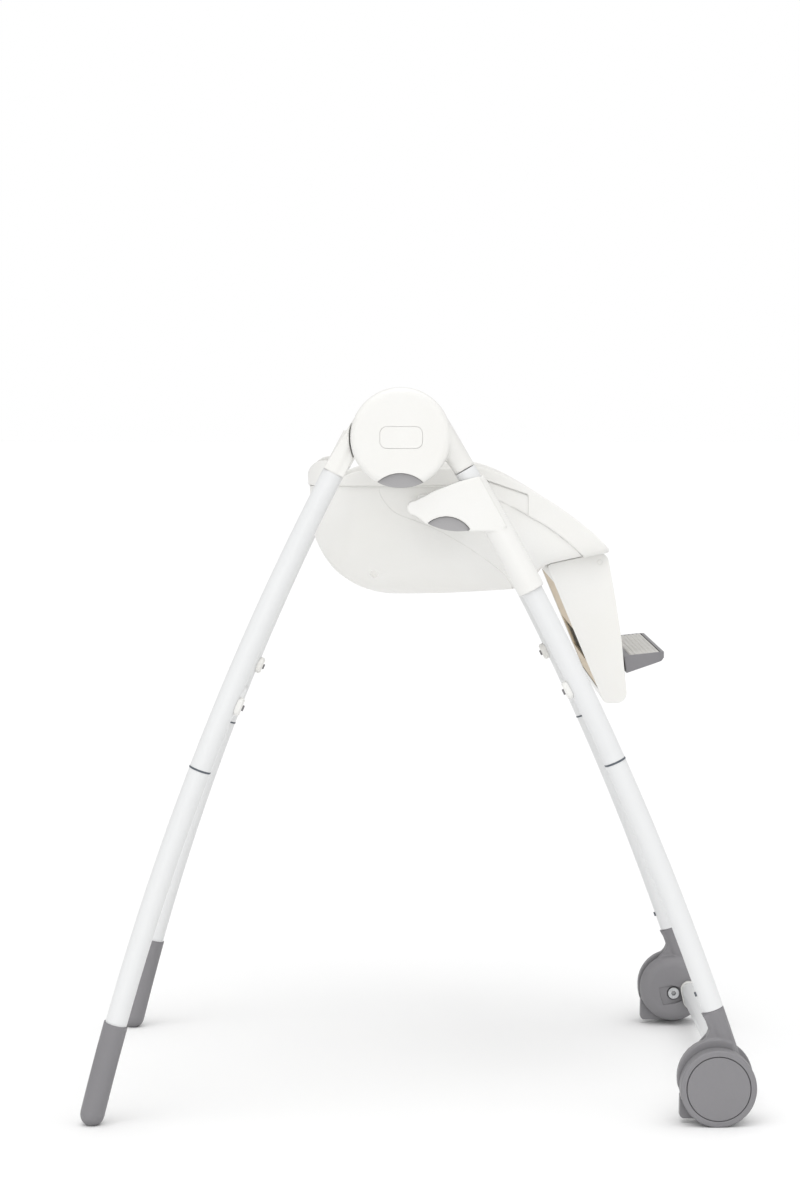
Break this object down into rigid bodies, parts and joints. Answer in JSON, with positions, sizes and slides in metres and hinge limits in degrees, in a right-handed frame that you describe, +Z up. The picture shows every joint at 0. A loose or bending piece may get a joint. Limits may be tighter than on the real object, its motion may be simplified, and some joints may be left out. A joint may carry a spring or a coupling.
{
  "type": "highchair",
  "caption": "Folding highchair base with curved legs hinged at round hubs, height-adjustable seat bucket, calf rest, footrest and braked castors.",
  "frame": {"origin": "on the floor, at the centre of the chair's overall length and width", "axes": "+X to the chair's front, +Y to the chair's left, +Z up"},
  "size_m": [0.7831, 0.5986, 0.8554],
  "materials": {
    "white_plastic": "satin moulded, warm white",
    "white_paint": "satin powder coat, cool white",
    "grey_plastic": "fine matt texture",
    "button_grey": "smooth satin",
    "slate_plastic": "smooth",
    "beige_plastic": "smooth",
    "pad_grey": "ribbed soft pad",
    "steel": "zinc plated"
  },
  "bodies": {
    "front_frame": {"hub_cover_left": "white_plastic", "hub_cover_right": "white_plastic", "hub_inner_plates": "white_plastic", "hub_badges": "white_plastic", "pivot_pins": "steel", "hub_washers": "slate_plastic", "fold_spring_left": "steel", "fold_spring_right": "steel", "upper_tube_front_left": "white_paint", "upper_tube_front_right": "white_paint", "leg_collars_front": "slate_plastic", "lower_tube_front_left": "white_paint", "lower_tube_front_right": "white_paint", "leg_lock_housings_front": "white_plastic", "castor_housing_left": "grey_plastic", "castor_housing_right": "grey_plastic", "axle_bolts": "steel", "castor_pins": "slate_plastic", "brake_pins": "steel", "front_crossbar": "white_paint", "crossbar_end_caps": "white_plastic", "hub_screws": "steel"},
    "rear_frame": {"rear_socket_left": "white_plastic", "rear_socket_right": "white_plastic", "upper_tube_rear_left": "white_paint", "upper_tube_rear_right": "white_paint", "leg_collars_rear": "slate_plastic", "lower_tube_rear_left": "white_paint", "lower_tube_rear_right": "white_paint", "leg_lock_housings_rear": "white_plastic", "rear_foot_left": "grey_plastic", "rear_foot_right": "grey_plastic", "rear_crossbar": "white_paint", "frame_rivets": "steel"},
    "seat": {"slider_bracket_left": "white_plastic", "slider_bracket_right": "white_plastic", "seat_shell": "white_plastic", "seat_rim": "white_plastic", "side_cover_left": "white_plastic", "side_cover_right": "white_plastic", "bracket_screws": "steel", "calf_hinge_pins": "steel"},
    "calf_rest": {"calf_rest_shell": "white_plastic", "calf_rest_back": "beige_plastic"},
    "footrest": {"footrest": "grey_plastic", "footrest_pad": "pad_grey"},
    "fold_button_left": {"fold_button_left": "button_grey"},
    "fold_button_right": {"fold_button_right": "button_grey"},
    "leg_button_front_left": {"leg_button_front_left": "grey_plastic"},
    "leg_button_front_right": {"leg_button_front_right": "grey_plastic"},
    "brake_lever_left": {"brake_lever_left": "grey_plastic"},
    "brake_lever_right": {"brake_lever_right": "grey_plastic"},
    "wheel_left": {"wheel_left": "grey_plastic", "wheel_cap_left": "grey_plastic"},
    "wheel_right": {"wheel_right": "grey_plastic", "wheel_cap_right": "grey_plastic"},
    "leg_button_rear_left": {"leg_button_rear_left": "grey_plastic"},
    "leg_button_rear_right": {"leg_button_rear_right": "grey_plastic"},
    "height_button_left": {"height_button_left": "button_grey"},
    "height_button_right": {"height_button_right": "button_grey"}
  },
  "joints": [
    {"name": "fold", "type": "hinge", "parent": "front_frame", "child": "rear_frame", "pos_m": [-0.019, 0, 0.797], "axis": [0, -1, 0], "range_deg": [0, 45]},
    {"name": "seat_height", "type": "hinge", "parent": "front_frame", "child": "seat", "pos_m": [-2.996, 0, -1.025], "axis": [0, 1, 0], "range_deg": [0, 1.7]},
    {"name": "calf_rest_tilt", "type": "hinge", "parent": "seat", "child": "calf_rest", "pos_m": [0.221, 0, 0.645], "axis": [0, -1, 0], "range_deg": [0, 60]},
    {"name": "footrest_height", "type": "slide", "parent": "calf_rest", "child": "footrest", "axis": [-0.128, 0, 0.9918], "range_m": [0, 0.056]},
    {"name": "wheel_spin_left", "type": "hinge", "parent": "front_frame", "child": "wheel_left", "pos_m": [0.3483, 0.289, 0.0444], "axis": [0, 1, 0], "continuous": true},
    {"name": "brake_left", "type": "hinge", "parent": "front_frame", "child": "brake_lever_left", "pos_m": [0.336, 0.27, 0.014], "axis": [0, 1, 0], "range_deg": [0, 9]},
    {"name": "fold_press_left", "type": "slide", "parent": "front_frame", "child": "fold_button_left", "axis": [0, 0, 1], "range_m": [0, 0.004], "stiffness_N_per_m": 400, "springref_m": -0.002, "deforming": ["fold_spring_left"]},
    {"name": "height_press_left", "type": "slide", "parent": "seat", "child": "height_button_left", "axis": [0.18, 0, 0.9837], "range_m": [0, 0.0035], "stiffness_N_per_m": 400, "springref_m": -0.002},
    {"name": "leg_release_front_left", "type": "slide", "parent": "front_frame", "child": "leg_button_front_left", "axis": [0.9009, 0, 0.4339], "range_m": [0, 0.0028], "stiffness_N_per_m": 300, "springref_m": -0.001},
    {"name": "leg_release_rear_left", "type": "slide", "parent": "rear_frame", "child": "leg_button_rear_left", "axis": [-0.9245, 0, 0.3811], "range_m": [0, 0.0028], "stiffness_N_per_m": 300, "springref_m": -0.001},
    {"name": "wheel_spin_right", "type": "hinge", "parent": "front_frame", "child": "wheel_right", "pos_m": [0.3483, -0.289, 0.0444], "axis": [0, 1, 0], "continuous": true},
    {"name": "brake_right", "type": "hinge", "parent": "front_frame", "child": "brake_lever_right", "pos_m": [0.336, -0.27, 0.014], "axis": [0, 1, 0], "range_deg": [0, 9]},
    {"name": "fold_press_right", "type": "slide", "parent": "front_frame", "child": "fold_button_right", "axis": [0, 0, 1], "range_m": [0, 0.004], "stiffness_N_per_m": 400, "springref_m": -0.002, "deforming": ["fold_spring_right"]},
    {"name": "height_press_right", "type": "slide", "parent": "seat", "child": "height_button_right", "axis": [0.18, 0, 0.9837], "range_m": [0, 0.0035], "stiffness_N_per_m": 400, "springref_m": -0.002},
    {"name": "leg_release_front_right", "type": "slide", "parent": "front_frame", "child": "leg_button_front_right", "axis": [0.9009, 0, 0.4339], "range_m": [0, 0.0028], "stiffness_N_per_m": 300, "springref_m": -0.001},
    {"name": "leg_release_rear_right", "type": "slide", "parent": "rear_frame", "child": "leg_button_rear_right", "axis": [-0.9245, 0, 0.3811], "range_m": [0, 0.0028], "stiffness_N_per_m": 300, "springref_m": -0.001}
  ]
}
